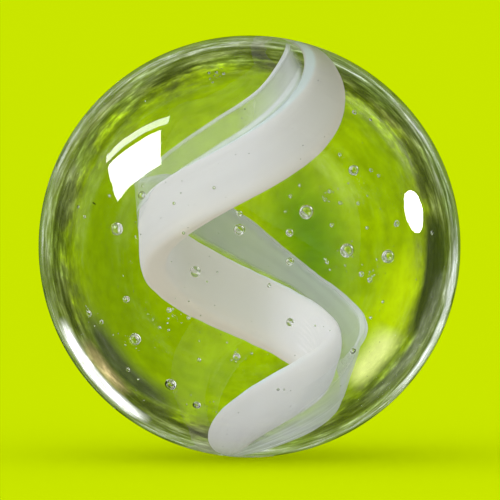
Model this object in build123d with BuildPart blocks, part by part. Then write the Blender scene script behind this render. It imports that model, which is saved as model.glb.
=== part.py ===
import os
from math import atan2, cos, radians, sin, sqrt

from build123d import *

# Glass marble: a clear ball with a white glass ribbon wound through it from pole to pole.
# The origin is the ball's centre and +Z is the ribbon's axis. Millimetres and degrees.

# Clear ball
ball_diameter = 16.0
ball_radius = ball_diameter / 2
polar_skin = 0.15  # clear glass left over the ribbon's ends

# White ribbon, as it is at the ball's middle
ribbon_orbit = 2.78  # from the axis to the ribbon's outer face
ribbon_thickness = 0.7
ribbon_width = 1.6
ribbon_lip = 0.24  # its lower edge, below that width

# Milky veil, the thin sheet that trails above the ribbon
veil_thickness = 0.14
veil_lip = 0.3  # square bead along its free edge
veil_reach = 0.95  # above the ribbon's upper edge, where it reaches furthest
veil_root = 0.25  # how deep it starts inside the ribbon

# Air bubbles, faceted all round
large_bubble = 0.4
middle_bubble = 0.28
small_bubble = 0.2
bubble_bevel_share = 0.293

# The ribbon's climb in shares of the ball's radius, by its turns from the middle
middle_turn = 157.0
turn_end_shares = (-0.88, 0.7)
climb_share = 0.947
upper_climb_share = 0.243
pole_climb_share = 0.244

# How the ribbon swells upwards and necks down to the poles, in shares of its middle size
swell_share = 0.243
neck_share = 0.7
width_swell_share = 0.218
width_flare_share = 0.786
bevel_share = 0.3

# Where the veil runs along the ribbon, by the ribbon's turns from the middle
veil_turn_shares = (-0.3, 0.62)
veil_middle_share = 0.25
veil_half_share = 0.62

# Sections of the ribbon and of the veil
ribbon_section_count = 25
veil_section_count = 15

# Bubble centres, in shares of the ball's radius
large_bubble_shares = [
    (-0.48, -0.20, 0.07),
    (-0.43, -0.26, -0.34),
    (-0.31, -0.32, -0.53),
    (0.19, -0.10, 0.12),
    (0.32, -0.05, -0.01),
    (0.49, -0.15, -0.03),
]
middle_bubble_shares = [
    (-0.43, -0.44, 0.22),
    (-0.21, -0.32, -0.62),
    (-0.17, 0.02, -0.08),
    (-0.03, 0.05, 0.05),
    (0.32, 0.11, 0.23),
]
small_bubble_shares = [
    (-0.58, -0.11, -0.24),
    (-0.39, 0.04, -0.17),
    (-0.04, 0.09, -0.34),
    (0.12, 0.10, 0.04),
    (0.12, 0.12, -0.05),
    (0.13, -0.01, -0.24),
    (0.42, -0.43, -0.41),
    (0.57, -0.30, 0.10),
]


def climb_at(turns):
    return climb_share * turns + upper_climb_share * turns**2 + pole_climb_share * turns**3


def neck_at(height):
    return 1 + swell_share * height - neck_share * height**2


def neck_slope_at(height):
    return swell_share - 2 * neck_share * height


def thickness_at(height):
    return ribbon_thickness * sqrt(neck_at(height))


def width_at(height):
    return ribbon_width * (1 + width_swell_share * height + width_flare_share * height**2)


def lip_at(height):
    return ribbon_lip * neck_at(height)


def reach_at(turns):
    return veil_reach * (1 - ((turns - veil_middle_share) / veil_half_share) ** 2)


def stations(end_shares, count):
    low, high = end_shares
    step = (high - low) / (count - 1)
    return [low + step * i for i in range(count)]


# The plane of one section holds the axis. Its own X runs up along the ribbon's wall and its own Y inwards,
# from the middle of the ribbon's thickness.
def section_plane(turns):
    height = climb_at(turns)
    turn = radians(middle_turn + 360 * turns)
    lean = atan2(ribbon_orbit * neck_slope_at(height), ball_radius)
    out = ribbon_orbit * neck_at(height) - thickness_at(height) / 2
    return Plane(
        origin=(out * cos(turn), out * sin(turn), height * ball_radius),
        x_dir=(sin(lean) * cos(turn), sin(lean) * sin(turn), cos(lean)),
        z_dir=(-sin(turn), cos(turn), 0),
    )


# White ribbon: bevelled sections wound up the axis, trimmed under the ball's skin
with BuildPart() as white_ribbon:
    for turns in stations(turn_end_shares, ribbon_section_count):
        height = climb_at(turns)
        thickness = thickness_at(height)
        with BuildSketch(section_plane(turns)) as section:
            with Locations((-lip_at(height) / 2, 0)):
                Rectangle(width_at(height) + lip_at(height), thickness)
            chamfer(section.vertices(), thickness * bevel_share)
    loft()
    Sphere(ball_radius - polar_skin, mode=Mode.INTERSECT)
white_ribbon.part.label = "white_ribbon"

# Milky veil: a thin sheet with a beaded free edge, which stands on the ribbon's upper edge
with BuildPart() as milky_veil:
    for turns in stations(veil_turn_shares, veil_section_count):
        upper_edge = width_at(climb_at(turns)) / 2
        with BuildSketch(section_plane(turns)):
            with Locations((upper_edge - veil_root, 0)):
                Rectangle(reach_at(turns) + veil_root, veil_thickness, align=(Align.MIN, Align.CENTER))
            with Locations((upper_edge + reach_at(turns), 0)):
                Rectangle(veil_lip, veil_lip)
    loft()
    Sphere(ball_radius - polar_skin, mode=Mode.INTERSECT)
    add(white_ribbon.part, mode=Mode.SUBTRACT)
milky_veil.part.label = "milky_veil"

# Air bubbles: a block bevelled to a ball's outline at each bubble's place
bubble_sets = [
    (large_bubble, large_bubble_shares),
    (middle_bubble, middle_bubble_shares),
    (small_bubble, small_bubble_shares),
]
with BuildPart() as air_bubbles:
    for bubble, place_shares in bubble_sets:
        with Locations([Vector(*place) * ball_radius for place in place_shares]):
            Box(bubble, bubble, bubble)
        chamfer(air_bubbles.edges(Select.LAST), bubble * bubble_bevel_share)

# Clear ball: solid glass around the ribbon and the veil, with its air bubbles
with BuildPart() as clear_ball:
    Sphere(ball_radius)
    add(white_ribbon.part, mode=Mode.SUBTRACT)
    add(milky_veil.part, mode=Mode.SUBTRACT)
    add(air_bubbles.part, mode=Mode.SUBTRACT)
clear_ball.part.label = "clear_ball"

os.makedirs("parts", exist_ok=True)
export_step(clear_ball.part, "parts/clear_ball.step")
export_step(white_ribbon.part, "parts/white_ribbon.step")
export_step(milky_veil.part, "parts/milky_veil.step")
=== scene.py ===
import math
import random

import bpy
from mathutils import Matrix, Vector


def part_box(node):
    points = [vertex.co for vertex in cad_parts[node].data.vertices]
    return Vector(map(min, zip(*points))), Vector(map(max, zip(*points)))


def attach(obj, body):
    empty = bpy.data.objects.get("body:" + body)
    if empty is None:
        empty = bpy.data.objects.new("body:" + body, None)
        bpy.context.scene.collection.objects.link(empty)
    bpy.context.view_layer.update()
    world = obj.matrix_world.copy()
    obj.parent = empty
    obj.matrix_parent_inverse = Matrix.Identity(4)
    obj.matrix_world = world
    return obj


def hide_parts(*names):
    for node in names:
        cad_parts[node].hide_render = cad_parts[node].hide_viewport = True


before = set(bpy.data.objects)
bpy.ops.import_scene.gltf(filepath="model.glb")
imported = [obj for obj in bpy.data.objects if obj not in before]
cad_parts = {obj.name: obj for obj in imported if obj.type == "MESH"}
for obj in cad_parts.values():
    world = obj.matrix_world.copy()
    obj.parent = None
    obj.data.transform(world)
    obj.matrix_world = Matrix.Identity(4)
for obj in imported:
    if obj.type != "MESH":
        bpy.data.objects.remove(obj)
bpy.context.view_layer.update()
ballLow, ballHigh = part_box("clear_ball")
ballRadius = (ballHigh.z - ballLow.z) / 2
mm = 0.001
print("frame loaded, ball radius", round(ballRadius, 5))


# small helpers for nodes and pieces

def addNode(tree, kind, **settings):
    node = tree.nodes.new(kind)
    for key, value in settings.items():
        setattr(node, key, value)
    return node


def mathNode(tree, operation, first, second=None, clamp=False):
    node = addNode(tree, "ShaderNodeMath", operation=operation, use_clamp=clamp)
    for socket, value in zip(node.inputs, (first, second)):
        if value is None:
            continue
        if isinstance(value, (int, float)):
            socket.default_value = value
        else:
            tree.links.new(value, socket)
    return node.outputs[0]


def plus(tree, first, second):
    return mathNode(tree, "ADD", first, second)


def times(tree, first, second):
    return mathNode(tree, "MULTIPLY", first, second)


def oneMinus(tree, value):
    return mathNode(tree, "SUBTRACT", 1.0, value)


def apartFrom(tree, value, place):
    return mathNode(tree, "ABSOLUTE", mathNode(tree, "SUBTRACT", value, place))


def mixColour(tree, factor, first, second, blend="MIX"):
    node = addNode(tree, "ShaderNodeMix", data_type="RGBA", blend_type=blend)
    for socket, value in ((node.inputs[0], factor), (node.inputs[6], first), (node.inputs[7], second)):
        if isinstance(value, (int, float)):
            socket.default_value = value
        elif isinstance(value, tuple):
            socket.default_value = (*value, 1)
        else:
            tree.links.new(value, socket)
    return node.outputs[2]


# each stop is a place with a colour or with a grey
def rampNode(tree, factor, stops):
    node = addNode(tree, "ShaderNodeValToRGB")
    ramp = node.color_ramp
    while len(ramp.elements) < len(stops):
        ramp.elements.new(0.5)
    for element, (place, colour) in zip(ramp.elements, stops):
        element.position = place
        element.color = (*colour, 1) if isinstance(colour, tuple) else (colour, colour, colour, 1)
    tree.links.new(factor, node.inputs[0])
    return node.outputs[0]


def smoothStep(tree, value, low, high):
    node = addNode(tree, "ShaderNodeMapRange", interpolation_type="SMOOTHSTEP")
    tree.links.new(value, node.inputs[0])
    node.inputs[1].default_value = low
    node.inputs[2].default_value = high
    return node.outputs[0]


# 1 within the low distance of a place, 0 past the high one
def bandAround(tree, value, place, low, high):
    return oneMinus(tree, smoothStep(tree, apartFrom(tree, value, place), low, high))


def noiseNode(tree, vector, scale, detail=3.0, roughness=0.55, stretch=None):
    if stretch is not None:
        mapping = addNode(tree, "ShaderNodeMapping")
        mapping.inputs["Scale"].default_value = stretch
        tree.links.new(vector, mapping.inputs["Vector"])
        vector = mapping.outputs[0]
    node = addNode(tree, "ShaderNodeTexNoise")
    node.inputs["Scale"].default_value = scale
    node.inputs["Detail"].default_value = detail
    node.inputs["Roughness"].default_value = roughness
    tree.links.new(vector, node.inputs["Vector"])
    return node.outputs[0]


def newMaterial(name):
    material = bpy.data.materials.new(name)
    material.use_nodes = True
    tree = material.node_tree
    return material, tree, tree.nodes["Principled BSDF"]


def setSockets(shader, values):
    for name, value in values.items():
        shader.inputs[name].default_value = value


# the coordinates, and the shares round and along a wound strip
def stripCoords(tree):
    coords = addNode(tree, "ShaderNodeTexCoord")
    split = addNode(tree, "ShaderNodeSeparateXYZ")
    tree.links.new(coords.outputs["UV"], split.inputs[0])
    return coords, split.outputs[0], split.outputs[1]


def deselectAll():
    if bpy.context.object is not None and bpy.context.object.mode != "OBJECT":
        bpy.ops.object.mode_set(mode="OBJECT")
    bpy.ops.object.select_all(action="DESELECT")


def namedPiece(name):
    piece = bpy.context.object
    piece.name = name
    piece.data.name = name
    return piece


winding = {
    "mergeWithin": 0.0003 * mm,
    "smoothAngle": 50.0,       # degrees
}


# A grid wrapped round into a closed strip: pointAt gives the place for a share round it and a share along it
def wrapGrid(name, around, along, pointAt):
    deselectAll()
    bpy.ops.mesh.primitive_grid_add(x_subdivisions=around, y_subdivisions=along, size=1, calc_uvs=True)
    piece = namedPiece(name)
    for vertex in piece.data.vertices:
        vertex.co = pointAt(vertex.co.x + 0.5, vertex.co.y + 0.5)
    bpy.ops.object.mode_set(mode="EDIT")
    bpy.ops.mesh.select_all(action="SELECT")
    bpy.ops.mesh.remove_doubles(threshold=winding["mergeWithin"])
    bpy.ops.mesh.select_all(action="DESELECT")
    bpy.ops.mesh.select_non_manifold()
    bpy.ops.mesh.fill_holes(sides=0)
    bpy.ops.mesh.select_all(action="SELECT")
    bpy.ops.mesh.normals_make_consistent(inside=False)
    bpy.ops.object.mode_set(mode="OBJECT")
    bpy.ops.object.shade_smooth_by_angle(angle=math.radians(winding["smoothAngle"]))
    return piece


# White ribbon

ribbon = {
    "orbit": 2.78 * mm,        # axis to outer face at the middle
    "thickness": 0.7 * mm,
    "width": 1.6 * mm,
    "middleTurn": 157.0,       # degrees
    "turns": (-0.94, 0.71),    # from the middle, down and up
    "climb": (0.947, 0.243, 0.244),
    "neck": (0.243, -0.7),
    "flare": (0.218, 0.786),
    "roundness": 3.6,          # 2 is an ellipse, more is squarer
    "softTurn": (-0.42, 0.2, 1.4),   # where it is rounder, for how far, and by how much
    "lip": 0.25 * mm,          # rounded lower edge, below the wall
    "lipSag": 0.7,             # how much longer the lip gets towards the lower pole
    "noLip": (-0.2, 0.17, 0.85),     # where the lip is missing, for how far, and how much of it
    "bead": 0.22,              # how much thicker the lower edge is
    "skin": 0.15 * mm,         # clear glass over the ends
    "squash": 0.15 * mm,       # how far under that skin the ends start to flatten
    "around": 44,
    "along": 240,
    # shades along the ribbon, from the lower end up
    "thin": [(0.0, 0.35), (0.156, 0.1), (0.375, 0.0), (0.459, 0.8),
             (0.532, 0.9), (0.605, 0.25), (0.761, 0.05), (0.907, 0.95)],
    # painted light: the ribbon is painted lighter round the lower turn, where the soft light falls
    "paintedLit": [(0.156, 0.0), (0.229, 0.9), (0.386, 0.9), (0.438, 0.0)],
    "bluish": [(0.177, 0.8), (0.25, 0.05), (0.365, 0.05), (0.438, 0.8)],
    # colours
    "denseColours": [(0.3, (0.83, 0.83, 0.85)), (0.55, (0.88, 0.885, 0.91)), (0.75, (0.85, 0.86, 0.88))],
    "thinColour": (0.67, 0.67, 0.57),
    "paintedLitColour": (0.955, 0.96, 0.975),
    "cloudColour": (0.86, 0.83, 0.79),
    # the lower lip's cream is partly painted warm shade, and the grey line above it is painted shade
    "lipCreamAndShadeColour": (0.83, 0.75, 0.62),
    "shadeLineColour": (0.64, 0.71, 0.72),
    "crestColour": (0.80, 0.93, 0.95),
    # painted highlight on the inner face
    "paintedGlintColour": (1.0, 0.99, 1.0),
}


def climbAt(turns):
    first, second, third = ribbon["climb"]
    return first * turns + second * turns ** 2 + third * turns ** 3


def neckAt(height):
    return 1 + ribbon["neck"][0] * height + ribbon["neck"][1] * height ** 2


def thicknessAt(height):
    return ribbon["thickness"] * math.sqrt(neckAt(height))


def widthAt(height):
    return ribbon["width"] * (1 + ribbon["flare"][0] * height + ribbon["flare"][1] * height ** 2)


# One section lies in a plane through the axis: up runs along the ribbon's wall, out away from the axis
def sectionPoint(turns, up, out):
    height = climbAt(turns)
    turn = math.radians(ribbon["middleTurn"] + 360 * turns)
    slope = ribbon["neck"][0] + 2 * ribbon["neck"][1] * height
    lean = math.atan2(ribbon["orbit"] * slope, ballRadius)
    reach = ribbon["orbit"] * neckAt(height) - thicknessAt(height) / 2
    reach += up * math.sin(lean) + out * math.cos(lean)
    rise = height * ballRadius + up * math.cos(lean) - out * math.sin(lean)
    point = Vector((reach * math.cos(turn), reach * math.sin(turn), rise))
    limit, squash = ballRadius - ribbon["skin"], ribbon["squash"]
    over = point.length - (limit - squash)
    if over > 0:
        point *= (limit - squash ** 2 / (over + squash)) / point.length
    return point


def roundedShare(value, power):
    return math.copysign(abs(value) ** power, value)


# a soft hump along the ribbon
def humpAt(turns, hump):
    place, spread, amount = hump
    return amount * math.exp(-((turns - place) / spread) ** 2)


def ribbonPoint(roundShare, alongShare):
    low, high = ribbon["turns"]
    turns = low + (high - low) * alongShare
    height = climbAt(turns)
    angle = 2 * math.pi * roundShare
    power = 2 / (ribbon["roundness"] - humpAt(turns, ribbon["softTurn"]))
    rise = roundedShare(math.cos(angle), power)      # 1 at the upper edge, -1 at the lower edge
    sink = max(0.0, -rise)
    lip = ribbon["lip"] * (1 + ribbon["lipSag"] * max(0.0, -height)) * (1 - humpAt(turns, ribbon["noLip"]))
    up = widthAt(height) / 2 * rise - lip * sink
    out = thicknessAt(height) / 2 * (1 + ribbon["bead"] * sink ** 2) * roundedShare(math.sin(angle), power)
    return sectionPoint(turns, up, out)


def whiteGlass():
    material, tree, shader = newMaterial("white_glass")
    coords, roundShare, along = stripCoords(tree)
    uv = coords.outputs["UV"]
    # dense and thin stretches along the ribbon, and a lighter, whiter stretch round the lower turn that is painted
    # light
    flow = noiseNode(tree, uv, 1.0, 4.0, 0.6, (14, 3.5, 1))
    cloud = noiseNode(tree, coords.outputs["Object"], 260, 2.0)
    base = rampNode(tree, flow, ribbon["denseColours"])
    base = mixColour(tree, rampNode(tree, along, ribbon["thin"]), base, ribbon["thinColour"])
    base = mixColour(tree, rampNode(tree, along, ribbon["paintedLit"]), base, ribbon["paintedLitColour"])
    base = mixColour(tree, times(tree, cloud, 0.25), base, ribbon["cloudColour"])
    # creamy lower lip, its own colour together with painted warm shade where it faces down, a faint painted shade
    # line above it, bluish upper edge
    fromLower = apartFrom(tree, roundShare, 0.5)
    lip = oneMinus(tree, smoothStep(tree, fromLower, 0.0, 0.25))
    base = mixColour(tree, times(tree, lip, 0.7), base, ribbon["lipCreamAndShadeColour"])
    line = bandAround(tree, fromLower, 0.115, 0.0, 0.04)
    base = mixColour(tree, times(tree, line, 0.12), base, ribbon["shadeLineColour"])
    crest = times(tree, smoothStep(tree, fromLower, 0.40, 0.48), rampNode(tree, along, ribbon["bluish"]))
    base = mixColour(tree, crest, base, ribbon["crestColour"])
    # painted highlight: bright glint streaks on the inner face, just before the right turn
    glintStreaks = noiseNode(tree, uv, 1.0, 2.0, 0.5, (90, 22, 1))
    paintedGlint = times(tree, bandAround(tree, along, 0.367, 0.01, 0.035), bandAround(tree, roundShare, 0.76, 0.05, 0.15))
    paintedGlint = times(tree, paintedGlint, smoothStep(tree, glintStreaks, 0.45, 0.66))
    base = mixColour(tree, paintedGlint, base, ribbon["paintedGlintColour"])
    tree.links.new(base, shader.inputs["Base Color"])
    setSockets(shader, {
        "Roughness": 0.45,
        "Specular IOR Level": 0.0,
        "Subsurface Weight": 0.4,
        "Subsurface Radius": (1.0, 0.97, 0.9),
        "Subsurface Scale": 0.3 * mm,
    })
    return material


whiteRibbon = wrapGrid("whiteRibbon", ribbon["around"], ribbon["along"], ribbonPoint)
whiteRibbon.data.materials.append(whiteGlass())
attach(whiteRibbon, "root")
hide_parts("white_ribbon")
print("ribbon wound", len(whiteRibbon.data.polygons))


# Milky veil

veil = {
    "thickness": 0.07 * mm,
    "lip": 0.22 * mm,          # bead at the free edge
    "lipSpread": 0.08,         # how wide that bead is, as a share of the sheet
    "taper": 0.03,             # share of the sheet in which it thins out to its edges
    "around": 64,
    "along": 260,
    # turns from the ribbon's middle: how far it stands above the ribbon's upper edge,
    # how far its root lies under that edge, and how far out from the ribbon's middle wall, in mm
    "course": [
        (-0.86, -1.9, 3.1, 0.55),
        (-0.75, -1.6, 3.2, 0.80),
        (-0.65, -1.1, 3.25, 0.85),
        (-0.55, -0.55, 3.0, 0.82),
        (-0.45, -0.05, 2.45, 0.76),
        (-0.36, 0.34, 1.6, 0.66),
        (-0.26, 0.64, 0.5, 0.46),
        (-0.18, 1.16, 0.55, 0.34),
        (-0.10, 1.45, 0.6, 0.32),
        (0.00, 0.80, 0.6, 0.34),
        (0.08, 0.46, 0.6, 0.34),
        (0.16, 0.78, 0.5, 0.16),
        (0.25, 1.08, 0.4, 0.04),
        (0.33, 1.24, 0.35, -0.06),
        (0.42, 1.75, 0.35, -0.14),
        (0.50, 1.9, 0.35, -0.20),
        (0.54, 1.8, 0.35, -0.22),
    ],
    # how milky the sheet, its free edge and the line beside the ribbon are, from the lower end up
    "body": [(0.0, 0.0), (0.23, 0.27), (0.32, 0.40), (0.42, 0.5),
             (0.52, 0.5), (0.58, 0.16), (0.82, 0.1), (0.92, 0.7)],
    "edge": [(0.28, 0.0), (0.34, 0.3), (0.45, 0.12), (0.62, 0.12), (0.73, 0.25), (0.84, 0.6), (1.0, 0.6)],
    "beside": [(0.6, 0.0), (0.68, 0.4), (0.85, 0.5), (1.0, 0.4)],
    "hanging": [(0.0, 1.0), (0.2, 1.0), (0.33, 0.0)],                 # where it hangs in wisps
    "gap": [(0.36, 0.0), (0.43, 0.85), (0.55, 0.85), (0.61, 0.0)],    # where it is clear beside the ribbon
    # colours along the sheet, darker on the back lobe as painted shade
    "tintAndShade": [(0.2, (0.93, 0.98, 1.0)), (0.34, (0.86, 0.93, 0.93)), (0.46, (0.60, 0.62, 0.62)),
             (0.53, (0.48, 0.50, 0.52)), (0.58, (0.84, 0.91, 0.91)), (0.85, (0.95, 1.0, 1.0))],
}


# a smooth line through the course's places
def veilCourse(turns):
    course = veil["course"]
    last = len(course) - 2
    index = max(0, min(last, sum(1 for row in course[1:-1] if row[0] <= turns)))
    start, end = course[index], course[index + 1]
    before, after = course[max(0, index - 1)], course[min(last + 1, index + 2)]
    span = end[0] - start[0]
    share = (turns - start[0]) / span
    values = []
    for column in (1, 2, 3):
        leave = (end[column] - before[column]) / (end[0] - before[0]) * span
        arrive = (after[column] - start[column]) / (after[0] - start[0]) * span
        first, second = start[column], end[column]
        bend = 3 * (second - first) - 2 * leave - arrive
        curl = leave + arrive - 2 * (second - first)
        values.append((first + leave * share + bend * share ** 2 + curl * share ** 3) * mm)
    return values


# The sheet leaves the ribbon's upper edge above and slides over its outside further down
def veilPoint(roundShare, alongShare):
    low, high = veil["course"][0][0], veil["course"][-1][0]
    turns = low + (high - low) * alongShare
    reach, depth, stand = veilCourse(turns)
    half = widthAt(climbAt(turns)) / 2
    across = 1 - abs(2 * roundShare - 1)      # 0 at the root, 1 at the free edge
    side = 1 if roundShare < 0.5 else -1
    bead = math.exp(-((1 - across) / veil["lipSpread"]) ** 2)
    thick = veil["thickness"] + (veil["lip"] - veil["thickness"]) * bead
    thick *= min(1.0, (1 - across) / veil["taper"], across / veil["taper"])
    up = half - depth + (reach + depth) * across
    return sectionPoint(turns, up, stand + side * thick / 2)


def milkyGlass():
    material, tree, shader = newMaterial("milky_glass")
    coords, roundShare, along = stripCoords(tree)
    uv = coords.outputs["UV"]
    across = oneMinus(tree, apartFrom(tree, times(tree, roundShare, 2.0), 1.0))      # as in veilPoint
    flow = noiseNode(tree, uv, 1.0, 3.0, 0.5, (7, 3.5, 1))
    wisps = noiseNode(tree, uv, 1.0, 4.0, 0.6, (26, 4, 1))
    # the sheet, its free edge and the line beside the ribbon
    cloudy = plus(tree, times(tree, flow, 0.5), 0.75)
    alpha = times(tree, cloudy, rampNode(tree, along, veil["body"]))
    lip = smoothStep(tree, across, 0.86, 0.96)
    alpha = plus(tree, alpha, times(tree, lip, rampNode(tree, along, veil["edge"])))
    root = bandAround(tree, across, 0.3, 0.02, 0.1)
    alpha = plus(tree, alpha, times(tree, root, rampNode(tree, along, veil["beside"])))
    # low down the sheet hangs in wisps, and its free edge fades out
    hanging = rampNode(tree, along, veil["hanging"])
    low = oneMinus(tree, smoothStep(tree, across, 0.15, 0.62))
    hang = times(tree, low, plus(tree, times(tree, smoothStep(tree, wisps, 0.42, 0.68), 0.65), 0.22))
    alpha = plus(tree, alpha, times(tree, hanging, hang))
    fray = times(tree, hanging, smoothStep(tree, across, 0.6, 0.97))
    alpha = times(tree, alpha, oneMinus(tree, fray))
    # a clear gap between the back lobe and the ribbon
    besideRibbon = oneMinus(tree, smoothStep(tree, across, 0.36, 0.47))
    gap = times(tree, rampNode(tree, along, veil["gap"]), besideRibbon)
    alpha = times(tree, alpha, oneMinus(tree, gap))
    ends = times(tree, smoothStep(tree, along, 0.0, 0.03), oneMinus(tree, smoothStep(tree, along, 0.91, 0.97)))
    alpha = mathNode(tree, "MULTIPLY", alpha, ends, clamp=True)
    tree.links.new(alpha, shader.inputs["Alpha"])
    # base colour along the sheet, with painted shade on the back lobe
    tree.links.new(rampNode(tree, along, veil["tintAndShade"]), shader.inputs["Base Color"])
    setSockets(shader, {"Roughness": 0.4, "Specular IOR Level": 0.0})
    return material


milkyVeil = wrapGrid("milkyVeil", veil["around"], veil["along"], veilPoint)
milkyVeil.data.materials.append(milkyGlass())
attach(milkyVeil, "root")
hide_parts("milky_veil")
print("veil wound", len(milkyVeil.data.polygons))


# Clear ball with its air bubbles

ball = {
    "subdivisions": 7,
    "bubbleSubdivisions": 4,   # for the three larger sizes
    "speckSubdivisions": 3,
    "seedSubdivisions": 2,
    "largeBubble": 0.4 * mm,
    "middleBubble": 0.28 * mm,
    "smallBubble": 0.2 * mm,
    "tinyBubble": 0.155 * mm,
    "speck": 0.105 * mm,
    "seedSizes": (0.03 * mm, 0.075 * mm),
    "seedLimit": 0.975,        # no seeds past this share of the radius
    "seedCount": 190,
    "skinSeedCount": 260,
    "skinDepths": (0.86, 0.97),      # shares of the radius
    "skinSeedScale": 0.6,
    "clusterSize": 9,
    "clusterDrift": (0.03, 0.03, 0.022),
    "seed": 11,
    "waveScale": 420,          # faint waves of the surface
    "waveStrength": 0.04,
    "waveDepth": 0.4 * mm,
}

# places in shares of the ball's radius
largeBubbles = [(-0.48, -0.20, 0.07), (-0.43, -0.26, -0.34), (-0.31, -0.32, -0.53), (0.19, -0.10, 0.12),
                (0.32, -0.05, -0.01), (0.49, -0.15, -0.03)]
middleBubbles = [(-0.43, -0.44, 0.22), (-0.21, -0.32, -0.62), (-0.17, 0.02, -0.08), (-0.03, 0.05, 0.05),
                 (0.32, 0.11, 0.23)]
smallBubbles = [(-0.58, -0.11, -0.24), (-0.39, 0.04, -0.17), (-0.04, 0.09, -0.34), (0.12, 0.10, 0.04),
                (0.12, 0.12, -0.05), (0.13, -0.01, -0.24), (0.42, -0.43, -0.41), (0.57, -0.30, 0.10)]
tinyBubbles = [(-0.03, 0.05, 0.10), (0.37, -0.05, -0.09), (0.41, -0.10, -0.11), (-0.54, -0.15, -0.27),
               (-0.46, -0.20, -0.46), (-0.27, -0.10, -0.21), (0.38, -0.10, 0.49), (0.72, -0.20, 0.06),
               (-0.42, -0.10, -0.18), (0.51, -0.10, 0.08)]
specks = [(-0.43, -0.45, 0.26), (0.25, 0.05, 0.17), (0.29, 0.0, 0.14), (0.23, 0.10, 0.14), (0.37, -0.10, 0.15),
          (0.25, 0.10, 0.06), (0.41, -0.15, 0.07), (0.40, 0.0, 0.25), (0.45, -0.10, 0.25), (0.26, -0.10, -0.05),
          (0.06, 0.10, -0.12), (0.12, -0.50, -0.58), (-0.20, -0.05, -0.23), (-0.32, -0.20, -0.28),
          (-0.17, -0.10, -0.38), (-0.66, -0.20, 0.16), (-0.59, -0.10, 0.11), (-0.53, -0.25, 0.20),
          (-0.30, -0.50, 0.19), (-0.14, -0.50, 0.25), (-0.26, -0.50, 0.07), (0.47, -0.20, 0.50),
          (0.31, -0.10, 0.32), (0.20, -0.50, 0.26), (0.13, 0.0, 0.16), (0.46, -0.30, -0.26),
          (0.51, -0.30, -0.20), (-0.16, -0.20, 0.69), (-0.13, -0.20, 0.69), (-0.10, -0.20, 0.68)]
clusters = [(-0.43, -0.26, -0.35), (-0.05, 0.0, -0.36), (-0.20, -0.30, -0.63), (-0.30, -0.30, -0.56),
            (0.33, -0.05, -0.03), (0.27, 0.05, 0.15), (0.39, -0.08, -0.10), (-0.12, -0.20, 0.68),
            (-0.22, -0.05, -0.23), (-0.59, -0.15, -0.25)]


def addBubble(place, diameter, subdivisions):
    bpy.ops.mesh.primitive_ico_sphere_add(subdivisions=subdivisions, radius=diameter / 2, location=place)
    return bpy.context.object


def clearGlass():
    material, tree, shader = newMaterial("clear_glass")
    coords = addNode(tree, "ShaderNodeTexCoord")
    waves = noiseNode(tree, coords.outputs["Object"], ball["waveScale"], 2.0)
    bump = addNode(tree, "ShaderNodeBump")
    bump.inputs["Strength"].default_value = ball["waveStrength"]
    bump.inputs["Distance"].default_value = ball["waveDepth"]
    tree.links.new(waves, bump.inputs["Height"])
    tree.links.new(bump.outputs[0], shader.inputs["Normal"])
    setSockets(shader, {
        "Base Color": (0.93, 0.95, 0.94, 1),
        "Roughness": 0.0,
        "IOR": 1.5,
        "Transmission Weight": 1.0,
    })
    return material


deselectAll()
bubbles = []
for diameter, subdivisions, places in (
        (ball["largeBubble"], ball["bubbleSubdivisions"], largeBubbles),
        (ball["middleBubble"], ball["bubbleSubdivisions"], middleBubbles),
        (ball["smallBubble"], ball["bubbleSubdivisions"], smallBubbles),
        (ball["tinyBubble"], ball["speckSubdivisions"], tinyBubbles),
        (ball["speck"], ball["speckSubdivisions"], specks)):
    for place in places:
        bubbles.append(addBubble(Vector(place) * ballRadius, diameter, subdivisions))
dice = random.Random(ball["seed"])


def addSeed(place, scale=1.0):
    low, high = ball["seedSizes"]
    if place.length < ball["seedLimit"]:
        diameter = scale * (low + (high - low) * dice.random() ** 2)
        bubbles.append(addBubble(place * ballRadius, diameter, ball["seedSubdivisions"]))


for cluster in clusters:
    for index in range(ball["clusterSize"]):
        addSeed(Vector(cluster) + Vector([dice.gauss(0, drift) for drift in ball["clusterDrift"]]))
for index in range(ball["skinSeedCount"]):
    skin = Vector([dice.gauss(0, 1) for axis in "xyz"]).normalized()
    addSeed(skin * dice.uniform(*ball["skinDepths"]), ball["skinSeedScale"])
for index in range(ball["seedCount"]):
    addSeed(Vector([dice.uniform(-1, 1) for axis in "xyz"]))
deselectAll()
for bubble in bubbles:
    bubble.select_set(True)
bpy.context.view_layer.objects.active = bubbles[0]
bpy.ops.object.join()
bpy.ops.object.transform_apply(location=True, rotation=True, scale=True)
bpy.ops.object.mode_set(mode="EDIT")
bpy.ops.mesh.select_all(action="SELECT")
bpy.ops.mesh.flip_normals()                  # the air's side of the glass
bpy.ops.object.mode_set(mode="OBJECT")
airBubbles = bpy.context.object
deselectAll()
bpy.ops.mesh.primitive_ico_sphere_add(subdivisions=ball["subdivisions"], radius=ballRadius)
clearBall = namedPiece("clearBall")
airBubbles.select_set(True)
bpy.ops.object.join()
bpy.ops.object.shade_smooth()
clearBall.data.materials.append(clearGlass())
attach(clearBall, "root")
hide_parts("clear_ball")
print("ball and bubbles made", len(clearBall.data.polygons))


# Stage: a plain lime floor, soft light all round and three lamps for the highlights

stage = {
    "lime": (0.597, 0.815, 0.0),
    "floorColour": (0.53, 0.71, 0.0),
    "bouncedColour": (0.55, 0.58, 0.38),      # what the floor casts back on the glass
    "floorSize": 60.0,
}


def floorPaint():
    material, tree, shader = newMaterial("lime_floor")
    path = addNode(tree, "ShaderNodeLightPath")
    bounced = mathNode(tree, "GREATER_THAN", path.outputs["Diffuse Depth"], 0.5)
    colour = mixColour(tree, bounced, stage["floorColour"], stage["bouncedColour"])
    tree.links.new(colour, shader.inputs["Base Color"])
    setSockets(shader, {"Roughness": 1.0, "Specular IOR Level": 0.0})
    return material


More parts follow.
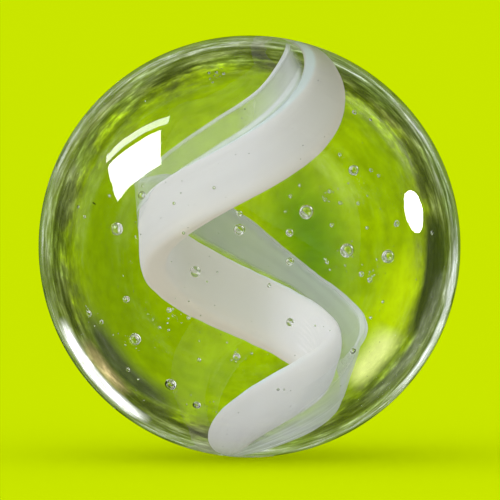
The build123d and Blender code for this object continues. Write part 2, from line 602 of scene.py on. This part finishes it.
deselectAll()
bpy.ops.mesh.primitive_plane_add(size=stage["floorSize"], location=(0, 0, -ballRadius))
floor = namedPiece("limeFloor")
bpy.ops.object.transform_apply(location=True, rotation=True, scale=True)
floor.data.materials.append(floorPaint())
floor.visible_transmission = False      # the glass shows the studio all round instead
floor.visible_glossy = False

# The studio that the glass shows, by how far a place is off the axis: 0 straight behind, 1 at the side
studio = {
    "colours": [
        (0.0, (0.36, 0.54, 0.0)),
        (0.24, (0.36, 0.54, 0.0)),
        (0.42, (0.32, 0.48, 0.0)),
        (0.50, (0.26, 0.37, 0.01)),
        (0.56, (0.14, 0.175, 0.03)),
        (0.68, (0.17, 0.205, 0.065)),
        (0.77, (0.32, 0.35, 0.21)),
        (0.83, (0.44, 0.47, 0.36)),
        (0.90, (0.30, 0.37, 0.19)),
        (1.0, (0.26, 0.37, 0.10)),
    ],
    "ragged": 0.42,                         # how far the borders of these colours wander
    "mottle": (0.20, 0.35, 0.0),
    "mottleShare": 0.3,
    "calmStreaks": [(0.35, 0.86), (0.65, 1.12)],
    "livelyStreaks": [(0.40, 0.3), (0.48, 0.78), (0.54, (1.2, 1.2, 1.25)), (0.60, (1.9, 1.85, 2.4)),
                      (0.66, (2.6, 2.5, 3.6))],
    "livelyFrom": (0.48, 0.6),
    "fineGrain": [(0.35, 0.9), (0.65, 1.1)],
    "coarseGrain": [(0.36, 0.6), (0.5, 0.95), (0.60, (1.45, 1.45, 1.5)), (0.68, (2.2, 2.2, 2.4))],
    "coarseFrom": (0.42, 0.58),
    "calmFrom": (0.84, 0.95),               # past the rim both are calm again
    # patches that the ball's rim shows: off-axis share and its half width, angle in the picture and its half width
    "patches": [
        {"away": 0.33, "awayHalf": 0.26, "angle": 192, "angleHalf": 62, "colour": (0.18, 0.30, 0.0), "weight": 0.75},
        {"away": 0.13, "awayHalf": 0.13, "angle": 14, "angleHalf": 70, "colour": (0.08, 0.23, 0.0), "weight": 0.8},
        {"away": 0.40, "awayHalf": 0.14, "angle": -18, "angleHalf": 24, "colour": (0.60, 0.82, 0.0), "weight": 0.9},
        {"away": 0.57, "awayHalf": 0.11, "angle": -8, "angleHalf": 22, "colour": (0.02, 0.026, 0.012), "weight": 2.4},
        {"away": 0.62, "awayHalf": 0.09, "angle": -30, "angleHalf": 26, "colour": (0.20, 0.22, 0.15), "weight": 1.2},
        {"away": 0.48, "awayHalf": 0.10, "angle": 222, "angleHalf": 28, "colour": (0.06, 0.075, 0.03), "weight": 1.2},
        {"away": 0.59, "awayHalf": 0.08, "angle": 219, "angleHalf": 12, "colour": (0.66, 0.50, 0.24), "weight": 0.8},
        {"away": 0.72, "awayHalf": 0.095, "angle": 220, "angleHalf": 21, "colour": (2.2, 2.2, 2.15), "weight": 2.3},
        {"away": 0.82, "awayHalf": 0.09, "angle": -22, "angleHalf": 26, "colour": (1.6, 1.65, 1.65), "weight": 2.0},
        {"away": 0.43, "awayHalf": 0.10, "angle": -40, "angleHalf": 14, "colour": (0.92, 1.02, 0.32), "weight": 1.1},
    ],
    "dimming": (0.4, 0.4, 0.3),             # the gloss shows a dimmer room
    "glints": [(-0.68, -0.50, 0.52), (0.72, -0.50, -0.46)],      # lamps as the bubbles see them
    "glintEdge": (0.94, 0.965),
    "glintColour": (6.0, 6.0, 6.0),
}

world = bpy.data.worlds.new("studio")
bpy.context.scene.world = world
world.use_nodes = True
tree = world.node_tree
background = tree.nodes["Background"]
coords = addNode(tree, "ShaderNodeTexCoord")
outwards = coords.outputs["Generated"]
split = addNode(tree, "ShaderNodeSeparateXYZ")
tree.links.new(outwards, split.inputs[0])
facing = mathNode(tree, "ABSOLUTE", split.outputs[1])
offAxis = mathNode(tree, "DIVIDE", mathNode(tree, "ARCCOSINE", facing), math.pi / 2)
mirroredX = times(tree, split.outputs[0], -1.0)      # the ball shows its surroundings upside down
mirroredZ = times(tree, split.outputs[2], -1.0)
around = mathNode(tree, "ARCTAN2", mirroredZ, mirroredX)


def polarPlace(radial, angular):
    place = addNode(tree, "ShaderNodeCombineXYZ")
    values = (times(tree, offAxis, radial),
              times(tree, mathNode(tree, "COSINE", around), angular),
              times(tree, mathNode(tree, "SINE", around), angular))
    for socket, value in zip(place.inputs, values):
        tree.links.new(value, socket)
    return place.outputs[0]


# quiet in the middle and at the side, loud in the zone that the rim shows
def rimSwing(loudFrom, quiet, loud):
    swing = mixColour(tree, smoothStep(tree, offAxis, *loudFrom), quiet, loud)
    return mixColour(tree, smoothStep(tree, offAxis, *studio["calmFrom"]), swing, quiet)


def dotWith(towards):
    node = addNode(tree, "ShaderNodeVectorMath", operation="DOT_PRODUCT")
    node.inputs[1].default_value = Vector(towards).normalized()
    tree.links.new(outwards, node.inputs[0])
    return node.outputs["Value"]


ragged = noiseNode(tree, polarPlace(5.0, 3.0), 1.5, 4.0, 0.6)
raggedShift = times(tree, mathNode(tree, "SUBTRACT", ragged, 0.5), studio["ragged"])
room = rampNode(tree, plus(tree, offAxis, raggedShift), studio["colours"])
mottle = noiseNode(tree, outwards, 2.6, 3.0, 0.55, (1.0, 1.0, 1.6))
mottleShare = times(tree, smoothStep(tree, mottle, 0.46, 0.62), studio["mottleShare"])
room = mixColour(tree, mottleShare, room, studio["mottle"])
streaks = noiseNode(tree, polarPlace(13.0, 2.0), 1.6, 5.0, 0.6)
calm = rampNode(tree, streaks, studio["calmStreaks"])
lively = rampNode(tree, streaks, studio["livelyStreaks"])
room = mixColour(tree, 1.0, room, rimSwing(studio["livelyFrom"], calm, lively), "MULTIPLY")
for patch in studio["patches"]:
    near = bandAround(tree, offAxis, patch["away"], 0.0, patch["awayHalf"])
    turned = mathNode(tree, "COSINE", mathNode(tree, "SUBTRACT", around, math.radians(patch["angle"])))
    beside = smoothStep(tree, turned, math.cos(math.radians(patch["angleHalf"])), 1.0)
    share = mathNode(tree, "MULTIPLY", times(tree, near, beside), patch["weight"], clamp=True)
    room = mixColour(tree, share, room, patch["colour"])
grain = noiseNode(tree, polarPlace(30.0, 10.0), 1.0, 6.0, 0.65)
fine = rampNode(tree, grain, studio["fineGrain"])
coarse = rampNode(tree, grain, studio["coarseGrain"])
room = mixColour(tree, 1.0, room, rimSwing(studio["coarseFrom"], fine, coarse), "MULTIPLY")

# soft light that the white glass and the floor are lit by, from the left and above
keyLight = {
    "towards": (-0.50, -0.70, 0.45),
    "spread": (-0.4, 1.0),
    "key": (0.70, 0.715, 0.78),
    "ambient": (0.74, 0.73, 0.64),
}
keyShare = smoothStep(tree, dotWith(keyLight["towards"]), *keyLight["spread"])
keyColour = mixColour(tree, keyShare, (0.0, 0.0, 0.0), keyLight["key"])
softLight = mixColour(tree, 1.0, keyLight["ambient"], keyColour, "ADD")

path = addNode(tree, "ShaderNodeLightPath")
dimmed = mixColour(tree, 1.0, room, studio["dimming"], "MULTIPLY")
throughGlass = room
for towards in studio["glints"]:
    glint = smoothStep(tree, dotWith(towards), *studio["glintEdge"])
    throughGlass = mixColour(tree, glint, throughGlass, studio["glintColour"])
mirrored = mixColour(tree, path.outputs["Is Transmission Ray"], dimmed, throughGlass)
seen = mixColour(tree, path.outputs["Is Camera Ray"], mirrored, stage["lime"])
looks = mathNode(tree, "MAXIMUM", path.outputs["Is Camera Ray"], path.outputs["Is Glossy Ray"])
looks = mathNode(tree, "MAXIMUM", looks, path.outputs["Is Transmission Ray"])
straight = times(tree, looks, mathNode(tree, "LESS_THAN", path.outputs["Diffuse Depth"], 0.5))
tree.links.new(mixColour(tree, straight, softLight, seen), background.inputs["Color"])
background.inputs["Strength"].default_value = 1.0

# sizes are shares of the distance
lampDistance = 0.5
softboxes = {
    "main": {"shape": "RECTANGLE", "towards": (-0.78, -0.09, 0.57), "across": (0.559, -0.455, 0.69),
             "size": (0.48, 0.37), "power": 22.0},
    "strip": {"shape": "RECTANGLE", "towards": (-0.705, 0.137, 0.684), "across": (0.559, -0.455, 0.69),
              "size": (0.53, 0.085), "power": 10.0},
    "side": {"shape": "ELLIPSE", "towards": (0.948, 0.251, 0.194), "across": (0, 0, 1),
             "size": (0.25, 0.27), "power": 22.0},
}


def addSoftbox(name, spec):
    towards = Vector(spec["towards"]).normalized()
    across = Vector(spec["across"])
    across = (across - towards * across.dot(towards)).normalized()
    width, height = (side * lampDistance for side in spec["size"])
    deselectAll()
    bpy.ops.object.light_add(type="AREA", location=towards * lampDistance)
    lamp = bpy.context.object
    lamp.name = name + "Softbox"
    lamp.data.shape = spec["shape"]
    lamp.data.size = width
    lamp.data.size_y = height
    lamp.data.energy = spec["power"] * math.pi * width * height
    lift = towards.cross(across)
    lamp.matrix_world = Matrix.Translation(lamp.location) @ Matrix((across, lift, towards)).transposed().to_4x4()
    lamp.visible_camera = False
    lamp.visible_diffuse = False
    lamp.visible_transmission = False
    lamp.data.cycles.max_bounces = 1        # no streaks on the floor


for name, spec in softboxes.items():
    addSoftbox(name, spec)

camera = {
    "distance": 0.32,
    "elevation": 2.0,          # degrees
    "lens": 607.5,
    "shift": (0.001, -0.007),
    "clip": (0.01, 200),
}
elevation = math.radians(camera["elevation"])
bpy.ops.object.camera_add(
    location=(0, -camera["distance"] * math.cos(elevation), camera["distance"] * math.sin(elevation)),
    rotation=(math.pi / 2 - elevation, 0, 0))
viewer = bpy.context.object
viewer.name = "viewer"
viewer.data.lens = camera["lens"]
viewer.data.shift_x, viewer.data.shift_y = camera["shift"]
viewer.data.clip_start, viewer.data.clip_end = camera["clip"]
bpy.context.scene.camera = viewer
bpy.context.scene.view_settings.view_transform = "Standard"
print("stage set")
